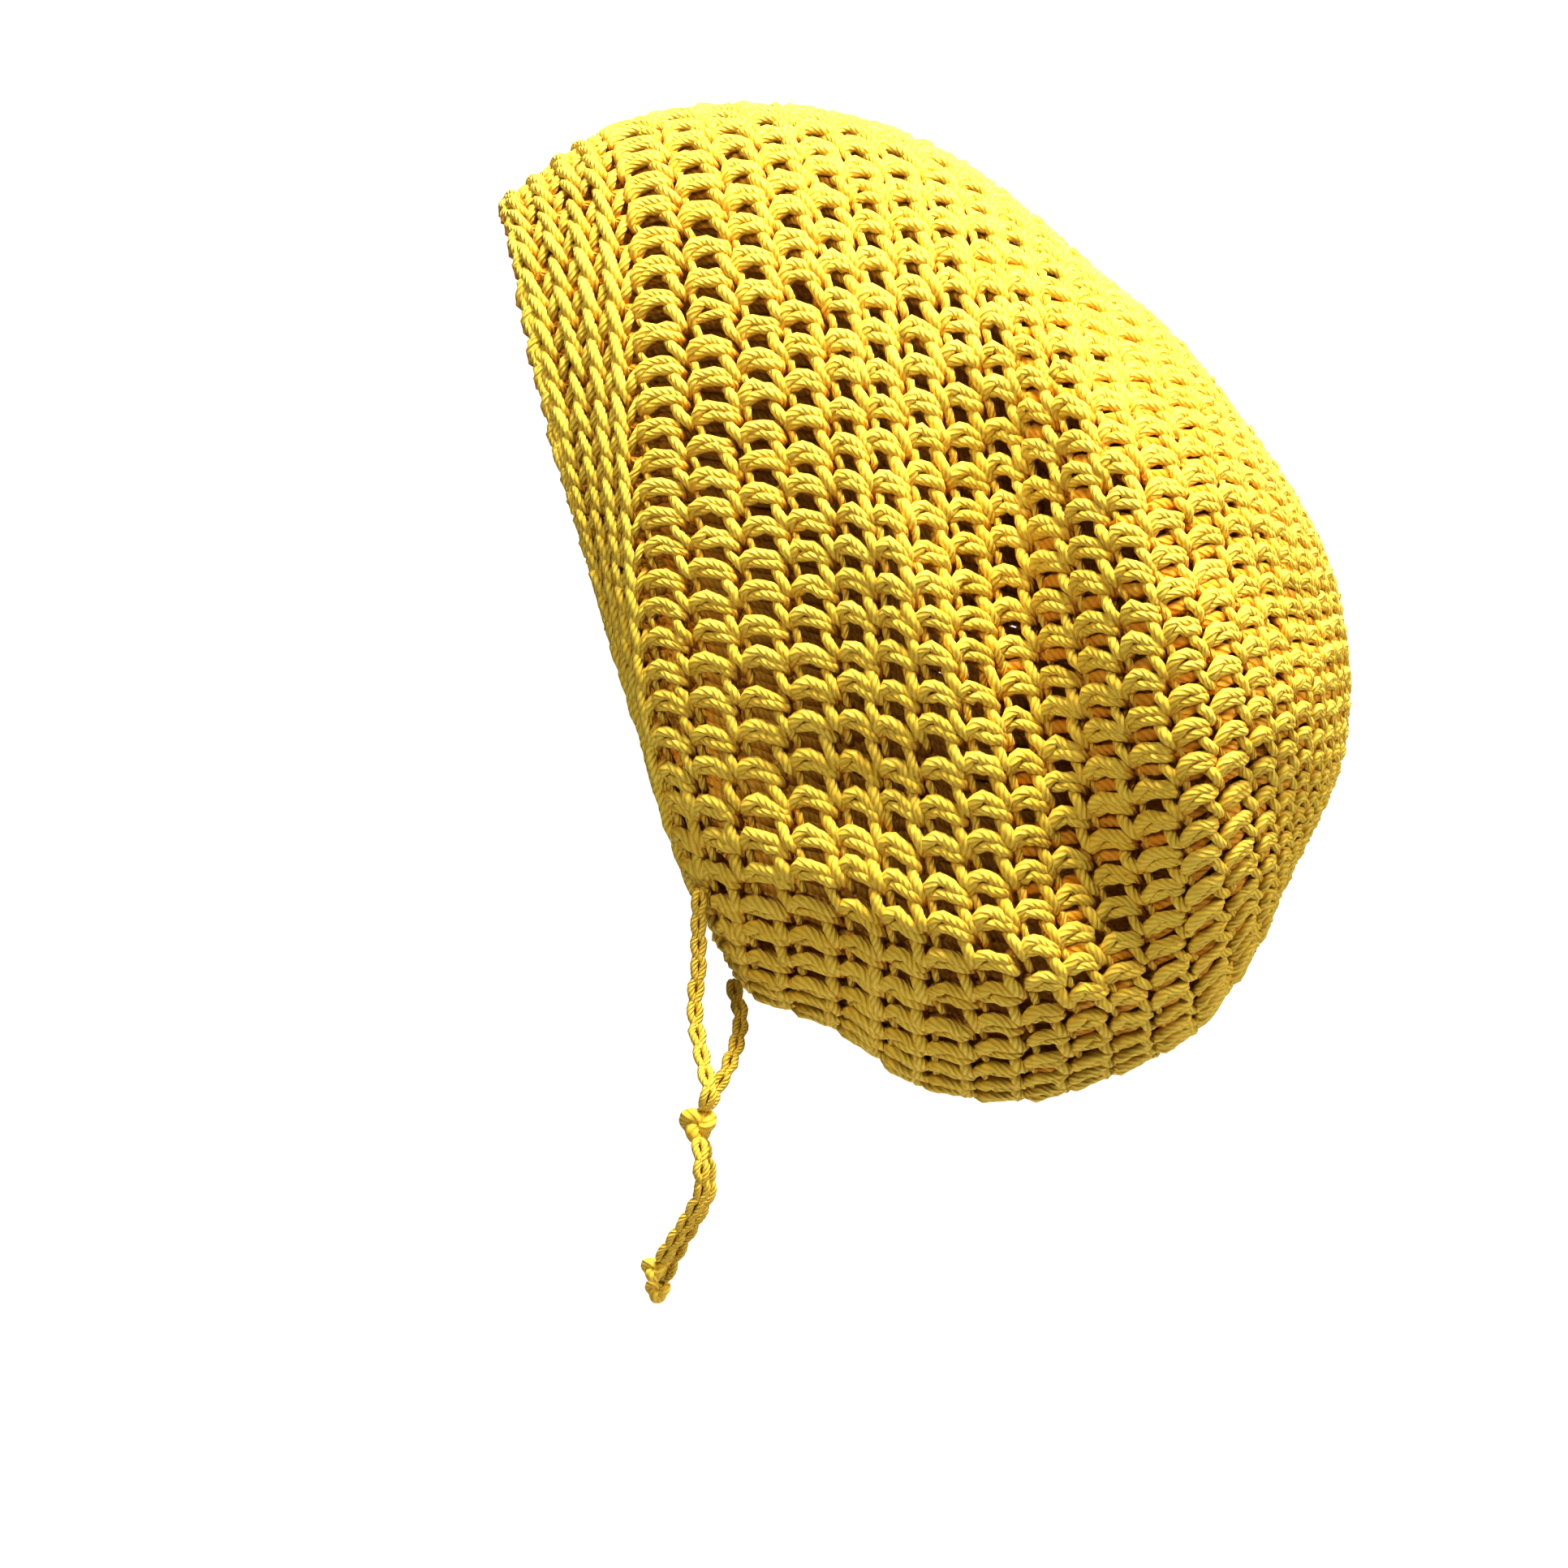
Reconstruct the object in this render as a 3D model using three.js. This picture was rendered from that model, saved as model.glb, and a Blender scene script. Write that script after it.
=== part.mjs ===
// Rasta tam: a crocheted bag with a ribbed band, held by a tied drawstring.
// Millimetres, +Z up, +X to the back of the head, the wearer's left at -Y.
// The origin is the middle of the band's opening, which a head fills.
import * as THREE from "three";

// Worn size of the whole shape
const BAG_DEPTH = 322;
const BAG_HEIGHT = 378;
const BAG_WIDTH = 240;

// Crochet fabric of the bag: rounds run from the band to the crown centre
const FABRIC = 6;
const ROUNDS = 24;
const CROWN_STITCHES = 33;
const STITCHES = 2 * CROWN_STITCHES;
const FULL_ROUNDS = 8;
const GAP_LENGTH = 7.4;
const GAP_HEIGHT = 6;
const FIRST_OPEN_ROUND = 1;
const OPEN_ROUNDS = 6;
const FIRST_OPEN_STITCH = 12;
const OPEN_STITCHES = 10;

// Ribbed band round the opening
const BAND_WIDTH = 41;
const BAND_FABRIC = 6.4;
const BAND_RIBS = 4;
const RIB_HEIGHT = 1.4;
const MOUTH_WIDTH = 124;
const SEAM_GAP = 0.35;

// Drawstring with its knots
const CORD_DIAMETER = 6.4;
const CORD_SIDES = 10;
const CORD_STEP = 2;
const KNOT_RADIUS = 6.4;
const END_KNOT_RADIUS = 4.6;
const KNOT_GAP = 0.3;
const KNOT_SIDES = 10;

// Colours and surface of the yarn
const YARN = { color: 0xe8cf4a, roughness: 0.88, metalness: 0 };
const BAND_YARN = { color: 0xe6cc48, roughness: 0.88, metalness: 0 };
const CORD_YARN = { color: 0xe2c440, roughness: 0.9, metalness: 0 };

// Sections of the bag at even steps of its run, from the seam with the band to
// the crown centre. topX and lowX are shares of BAG_DEPTH, topZ and lowZ of
// BAG_HEIGHT and half of BAG_WIDTH. bowUp and bowLow are shares of BAG_DEPTH by
// which the fabric swings back from a straight section at its upper and lower
// side; full pushes the flanks out to a fuller section.
const SECTIONS = [
  { topX: -0.040, topZ: 0.451, lowX: 0.145, lowZ: -0.357, half: 0.333, bowUp: 0.031, bowLow: -0.067, full: 0.92 },
  { topX: 0.061, topZ: 0.475, lowX: 0.146, lowZ: -0.397, half: 0.372, bowUp: 0.046, bowLow: -0.010, full: 0.9 },
  { topX: 0.168, topZ: 0.477, lowX: 0.242, lowZ: -0.431, half: 0.394, bowUp: 0.034, bowLow: 0.004, full: 0.88 },
  { topX: 0.274, topZ: 0.462, lowX: 0.341, lowZ: -0.486, half: 0.412, bowUp: 0.015, bowLow: -0.001, full: 0.86 },
  { topX: 0.375, topZ: 0.425, lowX: 0.457, lowZ: -0.501, half: 0.438, bowUp: 0.000, bowLow: -0.009, full: 0.84 },
  { topX: 0.463, topZ: 0.372, lowX: 0.561, lowZ: -0.477, half: 0.470, bowUp: -0.015, bowLow: -0.019, full: 0.84 },
  { topX: 0.540, topZ: 0.313, lowX: 0.660, lowZ: -0.433, half: 0.490, bowUp: -0.010, bowLow: -0.028, full: 0.86 },
  { topX: 0.612, topZ: 0.258, lowX: 0.729, lowZ: -0.354, half: 0.482, bowUp: 0.004, bowLow: -0.020, full: 0.88 },
  { topX: 0.673, topZ: 0.193, lowX: 0.749, lowZ: -0.305, half: 0.440, bowUp: 0.012, bowLow: 0.000, full: 0.92 },
  { topX: 0.737, topZ: 0.123, lowX: 0.774, lowZ: -0.261, half: 0.360, bowUp: 0.012, bowLow: 0.004, full: 0.96 },
  { topX: 0.792, topZ: 0.052, lowX: 0.800, lowZ: -0.220, half: 0.252, bowUp: 0.006, bowLow: 0.004, full: 1 },
  { topX: 0.823, topZ: -0.035, lowX: 0.823, lowZ: -0.178, half: 0.134, bowUp: 0.002, bowLow: 0.001, full: 1 },
  { topX: 0.834, topZ: -0.126, lowX: 0.834, lowZ: -0.126, half: 0, bowUp: 0, bowLow: 0, full: 1 },
];
const SEAM_RUN = 0;
const CENTRE_RUN = SECTIONS.length - 1;
const ROUND_RUN = CENTRE_RUN / ROUNDS;

// The band's free edge, measured from the seam with the bag. The four lengths
// are shares of BAND_WIDTH; the bows are shares of BAG_DEPTH.
const EDGE = { topX: -0.82, topZ: -0.57, lowX: 0.275, lowZ: 0.327, bowUp: 0.002, bowLow: -0.0745, full: 0.92 };
const EDGE_RUN = -1;

// Folds of the hanging bag. Each runs as a straight line, swung by its bend,
// between two places given as shares of BAG_DEPTH and BAG_HEIGHT; width is a
// share of BAG_DEPTH and depth of BAG_WIDTH. A ridge has a negative depth, and
// a positive bend swings the fold towards the band.
const FOLDS = [
  { side: -1, fromX: 0.42, fromZ: 0.16, toX: 0.56, toZ: -0.33, bend: 0.05, width: 0.066, depth: 0.072 },
  { side: -1, fromX: 0.26, fromZ: 0.08, toX: 0.48, toZ: -0.24, bend: 0, width: 0.05, depth: -0.022 },
  { side: -1, fromX: 0.50, fromZ: 0.17, toX: 0.64, toZ: -0.30, bend: -0.018, width: 0.075, depth: -0.034 },
  { side: -1, fromX: 0.16, fromZ: -0.26, toX: 0.52, toZ: -0.385, bend: 0.01, width: 0.055, depth: -0.035 },
  { side: -1, fromX: 0.14, fromZ: -0.17, toX: 0.34, toZ: -0.20, bend: 0, width: 0.05, depth: 0.014 },
  { side: -1, fromX: 0.62, fromZ: 0.04, toX: 0.76, toZ: -0.06, bend: 0, width: 0.048, depth: 0.022 },
  { side: -1, fromX: 0.66, fromZ: -0.19, toX: 0.76, toZ: -0.22, bend: 0, width: 0.045, depth: 0.024 },
  { side: 1, fromX: 0.40, fromZ: 0.18, toX: 0.54, toZ: -0.34, bend: 0.04, width: 0.066, depth: 0.07 },
  { side: 1, fromX: 0.52, fromZ: 0.16, toX: 0.66, toZ: -0.28, bend: -0.02, width: 0.07, depth: -0.036 },
  { side: 1, fromX: 0.20, fromZ: -0.22, toX: 0.50, toZ: -0.36, bend: 0.01, width: 0.06, depth: -0.03 },
  { side: 1, fromX: 0.60, fromZ: 0.02, toX: 0.76, toZ: -0.09, bend: 0, width: 0.05, depth: 0.024 },
];
// A fold fades over a share of its length at each end, towards the top and the
// underside, and where the bag closes to a half width of this share of BAG_WIDTH
const FOLD_END = 0.16;
const FOLD_FLANK = 0.5;
const FOLD_HALF = 0.3;

// Value of one named column, on a smooth curve through the rows
function smoothColumn(rows, name, at) {
  const place = Math.min(Math.max(at, 0), rows.length - 1);
  const i = Math.min(Math.floor(place), rows.length - 2);
  const u = place - i;
  const b = rows[i][name];
  const c = rows[i + 1][name];
  const a = i > 0 ? rows[i - 1][name] : 2 * b - c;
  const d = i + 2 < rows.length ? rows[i + 2][name] : 2 * c - b;
  const bend = (c - a) / 2;
  const nextBend = (d - b) / 2;
  const rise = 3 * (c - b) - 2 * bend - nextBend;
  const turn = 2 * (b - c) + bend + nextBend;
  return b + u * (bend + u * (rise + u * turn));
}

// The section rows in millimetres, the band's free edge first
function measuredRows() {
  const rows = SECTIONS.map((row) => ({
    topX: row.topX * BAG_DEPTH,
    topZ: row.topZ * BAG_HEIGHT,
    lowX: row.lowX * BAG_DEPTH,
    lowZ: row.lowZ * BAG_HEIGHT,
    half: row.half * BAG_WIDTH,
    bowUp: row.bowUp * BAG_DEPTH,
    bowLow: row.bowLow * BAG_DEPTH,
    full: row.full,
  }));
  const seam = rows[0];
  rows.unshift({
    topX: seam.topX + EDGE.topX * BAND_WIDTH,
    topZ: seam.topZ + EDGE.topZ * BAND_WIDTH,
    lowX: seam.lowX + EDGE.lowX * BAND_WIDTH,
    lowZ: seam.lowZ + EDGE.lowZ * BAND_WIDTH,
    half: MOUTH_WIDTH / 2,
    bowUp: EDGE.bowUp * BAG_DEPTH,
    bowLow: EDGE.bowLow * BAG_DEPTH,
    full: EDGE.full,
  });
  return rows;
}

const ROWS = measuredRows();
const COLUMNS = Object.keys(ROWS[0]);

function sectionAt(run) {
  const section = {};
  for (const name of COLUMNS) {
    section[name] = smoothColumn(ROWS, name, run - EDGE_RUN);
  }
  return section;
}

// How far all folds together move a point of the flank towards the middle
function foldDepth(x, z, side) {
  let depth = 0;
  for (const fold of FOLDS) {
    if (fold.side !== side) continue;
    const startX = fold.fromX * BAG_DEPTH;
    const startZ = fold.fromZ * BAG_HEIGHT;
    const runX = fold.toX * BAG_DEPTH - startX;
    const runZ = fold.toZ * BAG_HEIGHT - startZ;
    const length = Math.hypot(runX, runZ);
    const along = ((x - startX) * runX + (z - startZ) * runZ) / (length * length);
    const bow = fold.bend * BAG_DEPTH * (1 - (2 * along - 1) ** 2);
    const across = ((x - startX) * runZ - (z - startZ) * runX) / length - bow;
    const inside = smoothStep(-FOLD_END, FOLD_END, along) * smoothStep(-FOLD_END, FOLD_END, 1 - along);
    depth += fold.depth * BAG_WIDTH * inside * Math.exp(-((across / (fold.width * BAG_DEPTH)) ** 2));
  }
  return depth;
}

function smoothStep(low, high, value) {
  const u = Math.min(Math.max((value - low) / (high - low), 0), 1);
  return u * u * (3 - 2 * u);
}

// Brings a bow's swing to its full value where it is largest on the flank
const BOW_PEAK = 1.54;

// A point of the outer face. The turn share goes once round the section, from
// the top over the wearer's right, and keeps the stitches about equally long.
function outerPoint(run, turnShare) {
  const section = sectionAt(run);
  const halfHeight = Math.hypot(section.topX - section.lowX, section.topZ - section.lowZ) / 2;
  const reachSum = halfHeight + section.half;
  const slim = reachSum > 0 ? (halfHeight - section.half) / (2 * reachSum) : 0;
  const angle = 2 * Math.PI * turnShare + slim * Math.sin(4 * Math.PI * turnShare);
  const high = (1 + Math.cos(angle)) / 2;
  const flank = Math.abs(Math.sin(angle));
  const side = Math.sin(angle) >= 0 ? 1 : -1;
  const bow = BOW_PEAK * flank * (section.bowUp * high + section.bowLow * (1 - high));
  const x = section.lowX + (section.topX - section.lowX) * high + bow;
  const z = section.lowZ + (section.topZ - section.lowZ) * high;
  const reach = section.half * flank ** section.full;
  const hold = smoothStep(0, FOLD_FLANK, flank) * smoothStep(0, FOLD_HALF * BAG_WIDTH, section.half);
  const fold = foldDepth(x, z, side) * hold;
  return new THREE.Vector3(x, side * (reach - fold), z);
}

const LEAN_RUN = 0.2;
const LEAN_TURN = 0.006;

// The outer face's normal, pointing out of the fabric. It is taken over a short
// stretch, because thick fabric doesn't follow the sharpest creases.
function outerNormal(run, turnShare) {
  const before = Math.max(run - LEAN_RUN, EDGE_RUN);
  const after = Math.min(run + LEAN_RUN, CENTRE_RUN - LEAN_RUN);
  const at = Math.min(run, after);
  const along = outerPoint(after, turnShare).sub(outerPoint(before, turnShare));
  const around = outerPoint(at, turnShare + LEAN_TURN).sub(outerPoint(at, turnShare - LEAN_TURN));
  return along.cross(around).normalize();
}

function innerPoint(run, turnShare, thickness) {
  return outerPoint(run, turnShare).addScaledVector(outerNormal(run, turnShare), -thickness);
}

// Both pieces are cut square at the seam, so the gap there stays even inside
function seamInnerPoint(run, turnShare, thickness) {
  return outerPoint(run, turnShare).addScaledVector(outerNormal(SEAM_RUN, turnShare), -thickness);
}

const NUDGE_RUN = 0.005;
const NUDGE_TURN = 0.001;

// How much of the run a length along the fabric takes at one place
function runOf(length, run, turnShare) {
  const stretch = outerPoint(run + NUDGE_RUN, turnShare).distanceTo(outerPoint(run - NUDGE_RUN, turnShare));
  return (length * 2 * NUDGE_RUN) / stretch;
}

// How much of a turn a length round the section takes at one place
function turnOf(length, run, turnShare) {
  const ahead = outerPoint(run, turnShare + NUDGE_TURN);
  return (length * 2 * NUDGE_TURN) / ahead.distanceTo(outerPoint(run, turnShare - NUDGE_TURN));
}

// Corner points and triangles of one closed piece
class Surface {
  constructor() {
    this.points = [];
    this.triangles = [];
  }

  add(point) {
    this.points.push(point.x, point.y, point.z);
    return this.points.length / 3 - 1;
  }

  triangle(a, b, c) {
    this.triangles.push(a, b, c);
  }

  quad(a, b, c, d) {
    this.triangle(a, b, c);
    this.triangle(a, c, d);
  }

  mesh(name, finish) {
    const geometry = new THREE.BufferGeometry();
    geometry.setAttribute("position", new THREE.Float32BufferAttribute(this.points, 3));
    geometry.setIndex(this.triangles);
    return namedMesh(name, geometry, finish);
  }
}

function namedMesh(name, geometry, finish) {
  geometry.computeVertexNormals();
  const mesh = new THREE.Mesh(geometry, new THREE.MeshStandardMaterial(finish));
  mesh.name = name;
  return mesh;
}

// One ring of corners round the section, on the outer and on the inner face
function fabricRing(surface, count, run, thickness) {
  const outer = [];
  const inner = [];
  for (let i = 0; i < count; i += 1) {
    const share = i / count;
    outer.push(surface.add(outerPoint(run, share)));
    inner.push(surface.add(innerPoint(run, share, thickness)));
  }
  return { outer, inner, count };
}

// The ring along the seam: half the gap to one side of it, in front or behind
function seamRing(surface, side, thickness) {
  const outer = [];
  const inner = [];
  for (let i = 0; i < STITCHES; i += 1) {
    const share = i / STITCHES;
    const run = SEAM_RUN + side * runOf(SEAM_GAP / 2, SEAM_RUN, share);
    outer.push(surface.add(outerPoint(run, share)));
    inner.push(surface.add(seamInnerPoint(run, share, thickness)));
  }
  return { outer, inner, count: STITCHES };
}

// Two rings with as many corners, joined by plain cells on both faces
function joinRings(surface, ring, next, isLeftOpen) {
  for (let i = 0; i < ring.count; i += 1) {
    const j = (i + 1) % ring.count;
    if (isLeftOpen(i)) continue;
    surface.quad(ring.outer[i], next.outer[i], next.outer[j], ring.outer[j]);
    surface.quad(ring.inner[i], ring.inner[j], next.inner[j], next.inner[i]);
  }
}

// A ring joined to one with half as many corners
function halveRing(surface, ring, next) {
  for (let i = 0; i < next.count; i += 1) {
    const a = 2 * i;
    const b = a + 1;
    const c = (a + 2) % ring.count;
    const j = (i + 1) % next.count;
    surface.triangle(ring.outer[a], next.outer[i], ring.outer[b]);
    surface.triangle(ring.outer[b], next.outer[i], next.outer[j]);
    surface.triangle(ring.outer[b], next.outer[j], ring.outer[c]);
    surface.triangle(ring.inner[a], ring.inner[b], next.inner[i]);
    surface.triangle(ring.inner[b], next.inner[j], next.inner[i]);
    surface.triangle(ring.inner[b], ring.inner[c], next.inner[j]);
  }
}

// The cut edge of the fabric between its two faces
function closeEdge(surface, ring, facesBack) {
  for (let i = 0; i < ring.count; i += 1) {
    const j = (i + 1) % ring.count;
    if (facesBack) {
      surface.quad(ring.outer[i], ring.inner[i], ring.inner[j], ring.outer[j]);
    } else {
      surface.quad(ring.outer[i], ring.outer[j], ring.inner[j], ring.inner[i]);
    }
  }
}

// One cell of the open stitches: a gap is left through the middle of the fabric
function openCell(surface, ring, next, i, round) {
  const j = (i + 1) % ring.count;
  const middleRun = (round + 0.5) * ROUND_RUN;
  const middleTurn = (i + 0.5) / ring.count;
  const reach = runOf(GAP_LENGTH / 2, middleRun, middleTurn);
  const spread = turnOf(GAP_HEIGHT / 2, middleRun, middleTurn);
  const corners = [
    [ring.outer[i], ring.inner[i], -1, -1],
    [next.outer[i], next.inner[i], 1, -1],
    [next.outer[j], next.inner[j], 1, 1],
    [ring.outer[j], ring.inner[j], -1, 1],
  ];
  const holeOuter = [];
  const holeInner = [];
  for (const [, , alongSign, aroundSign] of corners) {
    const holeRun = middleRun + alongSign * reach;
    const holeTurn = middleTurn + aroundSign * spread;
    holeOuter.push(surface.add(outerPoint(holeRun, holeTurn)));
    holeInner.push(surface.add(innerPoint(holeRun, holeTurn, FABRIC)));
  }
  for (let k = 0; k < corners.length; k += 1) {
    const n = (k + 1) % corners.length;
    surface.quad(corners[k][0], corners[n][0], holeOuter[n], holeOuter[k]);
    surface.quad(corners[k][1], holeInner[k], holeInner[n], corners[n][1]);
    surface.quad(holeOuter[k], holeOuter[n], holeInner[n], holeInner[k]);
  }
}

// The open stitches lie over both temples, in the rounds next to the band
function isOpenStitch(round, stitch) {
  const fromTop = stitch < STITCHES / 2 ? stitch : STITCHES - 1 - stitch;
  const inRound = round >= FIRST_OPEN_ROUND && round < FIRST_OPEN_ROUND + OPEN_ROUNDS;
  return inRound && fromTop >= FIRST_OPEN_STITCH && fromTop < FIRST_OPEN_STITCH + OPEN_STITCHES;
}

// The bag: a hollow shell from the seam to the crown centre
function makeBag() {
  const surface = new Surface();
  let ring = seamRing(surface, 1, FABRIC);
  closeEdge(surface, ring, false);
  for (let round = 0; round < FULL_ROUNDS; round += 1) {
    const next = fabricRing(surface, STITCHES, (round + 1) * ROUND_RUN, FABRIC);
    joinRings(surface, ring, next, (stitch) => isOpenStitch(round, stitch));
    for (let stitch = 0; stitch < STITCHES; stitch += 1) {
      if (isOpenStitch(round, stitch)) openCell(surface, ring, next, stitch, round);
    }
    ring = next;
  }
  let next = fabricRing(surface, CROWN_STITCHES, (FULL_ROUNDS + 1) * ROUND_RUN, FABRIC);
  halveRing(surface, ring, next);
  for (let round = FULL_ROUNDS + 2; round < ROUNDS; round += 1) {
    ring = next;
    next = fabricRing(surface, CROWN_STITCHES, round * ROUND_RUN, FABRIC);
    joinRings(surface, ring, next, () => false);
  }
  const centre = outerPoint(CENTRE_RUN, 0);
  const outerCentre = surface.add(centre);
  const innerCentre = surface.add(centre.clone().addScaledVector(new THREE.Vector3(-1, 0, 0), FABRIC));
  for (let i = 0; i < CROWN_STITCHES; i += 1) {
    const j = (i + 1) % CROWN_STITCHES;
    surface.triangle(next.outer[i], outerCentre, next.outer[j]);
    surface.triangle(next.inner[i], next.inner[j], innerCentre);
  }
  return surface.mesh("crocheted_bag", YARN);
}

// The band: ribs run round the opening, raised above the fabric between them
function makeBand() {
  const surface = new Surface();
  const rows = 2 * BAND_RIBS;
  const edge = fabricRing(surface, STITCHES, EDGE_RUN, BAND_FABRIC);
  const seam = seamRing(surface, -1, BAND_FABRIC);
  const rings = [edge];
  for (let row = 1; row < rows; row += 1) {
    const outer = [];
    const lift = row % 2 === 1 ? RIB_HEIGHT : 0;
    const run = EDGE_RUN + ((SEAM_RUN - EDGE_RUN) * row) / rows;
    for (let i = 0; i < STITCHES; i += 1) {
      outer.push(surface.add(innerPoint(run, i / STITCHES, -lift)));
    }
    rings.push({ outer, count: STITCHES });
  }
  rings.push(seam);
  for (let i = 0; i < STITCHES; i += 1) {
    const j = (i + 1) % STITCHES;
    for (let row = 0; row < rows; row += 1) {
      const ring = rings[row].outer;
      const next = rings[row + 1].outer;
      surface.quad(ring[i], next[i], next[j], ring[j]);
    }
    surface.quad(edge.inner[i], edge.inner[j], seam.inner[j], seam.inner[i]);
  }
  closeEdge(surface, edge, false);
  closeEdge(surface, seam, true);
  return surface.mesh("ribbed_band", BAND_YARN);
}

// The drawstring's routes, each a list of places chosen along one smooth curve
const FRONT_STRAND_ROUTE = [
  [28.8, -57.0, -110.3],
  [28.6, -54.8, -118.0],
  [28.4, -52.6, -127.0],
  [28.4, -52.0, -138.7],
  [27.2, -52.4, -148.5],
  [27.8, -54.4, -159.3],
  [30.6, -59.2, -172.0],
  [32.6, -64.2, -180.6],
  [30.8, -62.3, -186.9],
];
const BACK_STRAND_ROUTE = [
  [40.1, -22.9, -144.9],
  [41.6, -25.4, -151.0],
  [43.2, -31.0, -157.6],
  [41.6, -39.6, -166.6],
  [38.2, -47.0, -175.4],
  [34.4, -50.6, -181.6],
  [31.2, -56.0, -187.9],
];
const FRONT_TAIL_ROUTE = [
  [29.0, -63.7, -198.3],
  [29.9, -66.6, -206.4],
  [29.6, -64.0, -217.0],
  [24.8, -60.2, -226.6],
  [18.8, -56.2, -236.2],
  [15.0, -53.0, -242.0],
];
const BACK_TAIL_ROUTE = [
  [29.0, -56.7, -198.5],
  [31.4, -53.6, -207.4],
  [31.8, -52.4, -217.7],
  [27.3, -50.0, -227.9],
  [21.4, -46.8, -238.4],
  [15.6, -43.2, -250.6],
];
const KNOT_PLACE = [28.6, -60, -192.8];

// One length of the crocheted cord, as a plain tube along its route
function makeCord(name, route) {
  const path = new THREE.CatmullRomCurve3(route.map((place) => new THREE.Vector3(...place)));
  const section = new THREE.Shape();
  for (let i = 0; i < CORD_SIDES; i += 1) {
    const angle = (2 * Math.PI * i) / CORD_SIDES;
    const x = (CORD_DIAMETER / 2) * Math.cos(angle);
    const y = (CORD_DIAMETER / 2) * Math.sin(angle);
    if (i === 0) section.moveTo(x, y);
    else section.lineTo(x, y);
  }
  const steps = Math.ceil(path.getLength() / (CORD_STEP * CORD_DIAMETER));
  const tube = new THREE.ExtrudeGeometry(section, { steps, extrudePath: path, bevelEnabled: false });
  return namedMesh(name, tube, CORD_YARN);
}

function makeKnot(name, place, radius) {
  const knot = namedMesh(name, new THREE.SphereGeometry(radius, KNOT_SIDES, KNOT_SIDES), CORD_YARN);
  knot.position.set(...place);
  return knot;
}

// The end knot sits just past the last place of its tail, in the same line
function makeEndKnot(name, route) {
  const end = new THREE.Vector3(...route[route.length - 1]);
  const before = new THREE.Vector3(...route[route.length - 2]);
  const away = end.clone().sub(before).normalize();
  const place = end.addScaledVector(away, END_KNOT_RADIUS + KNOT_GAP);
  return makeKnot(name, place.toArray(), END_KNOT_RADIUS);
}

const model = new THREE.Group();
model.name = "rasta_tam";
model.add(makeBag());
model.add(makeBand());
model.add(makeCord("front_strand", FRONT_STRAND_ROUTE));
model.add(makeCord("back_strand", BACK_STRAND_ROUTE));
model.add(makeKnot("tied_knot", KNOT_PLACE, KNOT_RADIUS));
model.add(makeCord("front_tail", FRONT_TAIL_ROUTE));
model.add(makeCord("back_tail", BACK_TAIL_ROUTE));
model.add(makeEndKnot("front_end_knot", FRONT_TAIL_ROUTE));
model.add(makeEndKnot("back_end_knot", BACK_TAIL_ROUTE));

export default model;
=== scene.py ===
"""Rasta tam: a deep bag in open crochet with a ribbed band and a tied drawstring."""

import math

import bpy
import numpy as np
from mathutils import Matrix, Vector


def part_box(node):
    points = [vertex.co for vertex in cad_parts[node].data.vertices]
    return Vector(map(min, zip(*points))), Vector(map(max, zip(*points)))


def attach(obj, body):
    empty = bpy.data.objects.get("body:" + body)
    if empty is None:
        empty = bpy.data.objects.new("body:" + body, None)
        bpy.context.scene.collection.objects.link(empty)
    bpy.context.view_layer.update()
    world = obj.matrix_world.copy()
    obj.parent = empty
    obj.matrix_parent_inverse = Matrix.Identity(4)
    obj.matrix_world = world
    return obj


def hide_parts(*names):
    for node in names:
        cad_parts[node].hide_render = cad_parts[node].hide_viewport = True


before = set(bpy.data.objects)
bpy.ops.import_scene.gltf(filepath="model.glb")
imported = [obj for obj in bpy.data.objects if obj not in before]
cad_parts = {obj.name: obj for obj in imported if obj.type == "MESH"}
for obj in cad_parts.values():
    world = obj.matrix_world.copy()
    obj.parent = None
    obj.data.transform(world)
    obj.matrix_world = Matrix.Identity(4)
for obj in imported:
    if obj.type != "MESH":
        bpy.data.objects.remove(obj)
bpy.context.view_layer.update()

bl_info = {
    "name": "Rasta tam",
    "version": (1, 0, 0),
    "blender": (4, 5, 0),
    "location": "3D View > Sidebar > Tam",
    "description": "Makes a crocheted tam with a ribbed band and a tied drawstring",
    "category": "Add Mesh",
}

BODY = "root"
MM = 0.001

# Sections of the bag at even steps of its run, from the seam with the band to
# the crown centre. top_x, low_x and the bows are shares of the bag's depth,
# top_z and low_z of its height, and half of its width.
SECTION_NAMES = ("top_x", "top_z", "low_x", "low_z", "half", "bow_up", "bow_low", "full")
SECTIONS = (
    (-0.040, 0.451, 0.145, -0.357, 0.333, 0.031, -0.067, 0.92),
    (0.061, 0.475, 0.146, -0.397, 0.372, 0.046, -0.010, 0.9),
    (0.168, 0.477, 0.242, -0.431, 0.394, 0.034, 0.004, 0.88),
    (0.274, 0.462, 0.341, -0.486, 0.412, 0.015, -0.001, 0.86),
    (0.375, 0.425, 0.457, -0.501, 0.438, 0.000, -0.009, 0.84),
    (0.463, 0.372, 0.561, -0.477, 0.470, -0.015, -0.019, 0.84),
    (0.540, 0.313, 0.660, -0.433, 0.490, -0.010, -0.028, 0.86),
    (0.612, 0.258, 0.729, -0.354, 0.482, 0.004, -0.020, 0.88),
    (0.673, 0.193, 0.749, -0.305, 0.440, 0.012, 0.000, 0.92),
    (0.737, 0.123, 0.774, -0.261, 0.360, 0.012, 0.004, 0.96),
    (0.792, 0.052, 0.800, -0.220, 0.252, 0.006, 0.004, 1.0),
    (0.823, -0.035, 0.823, -0.178, 0.134, 0.002, 0.001, 1.0),
    (0.834, -0.126, 0.834, -0.126, 0.0, 0.0, 0.0, 1.0),
)
SEAM_RUN = 0.0
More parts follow.
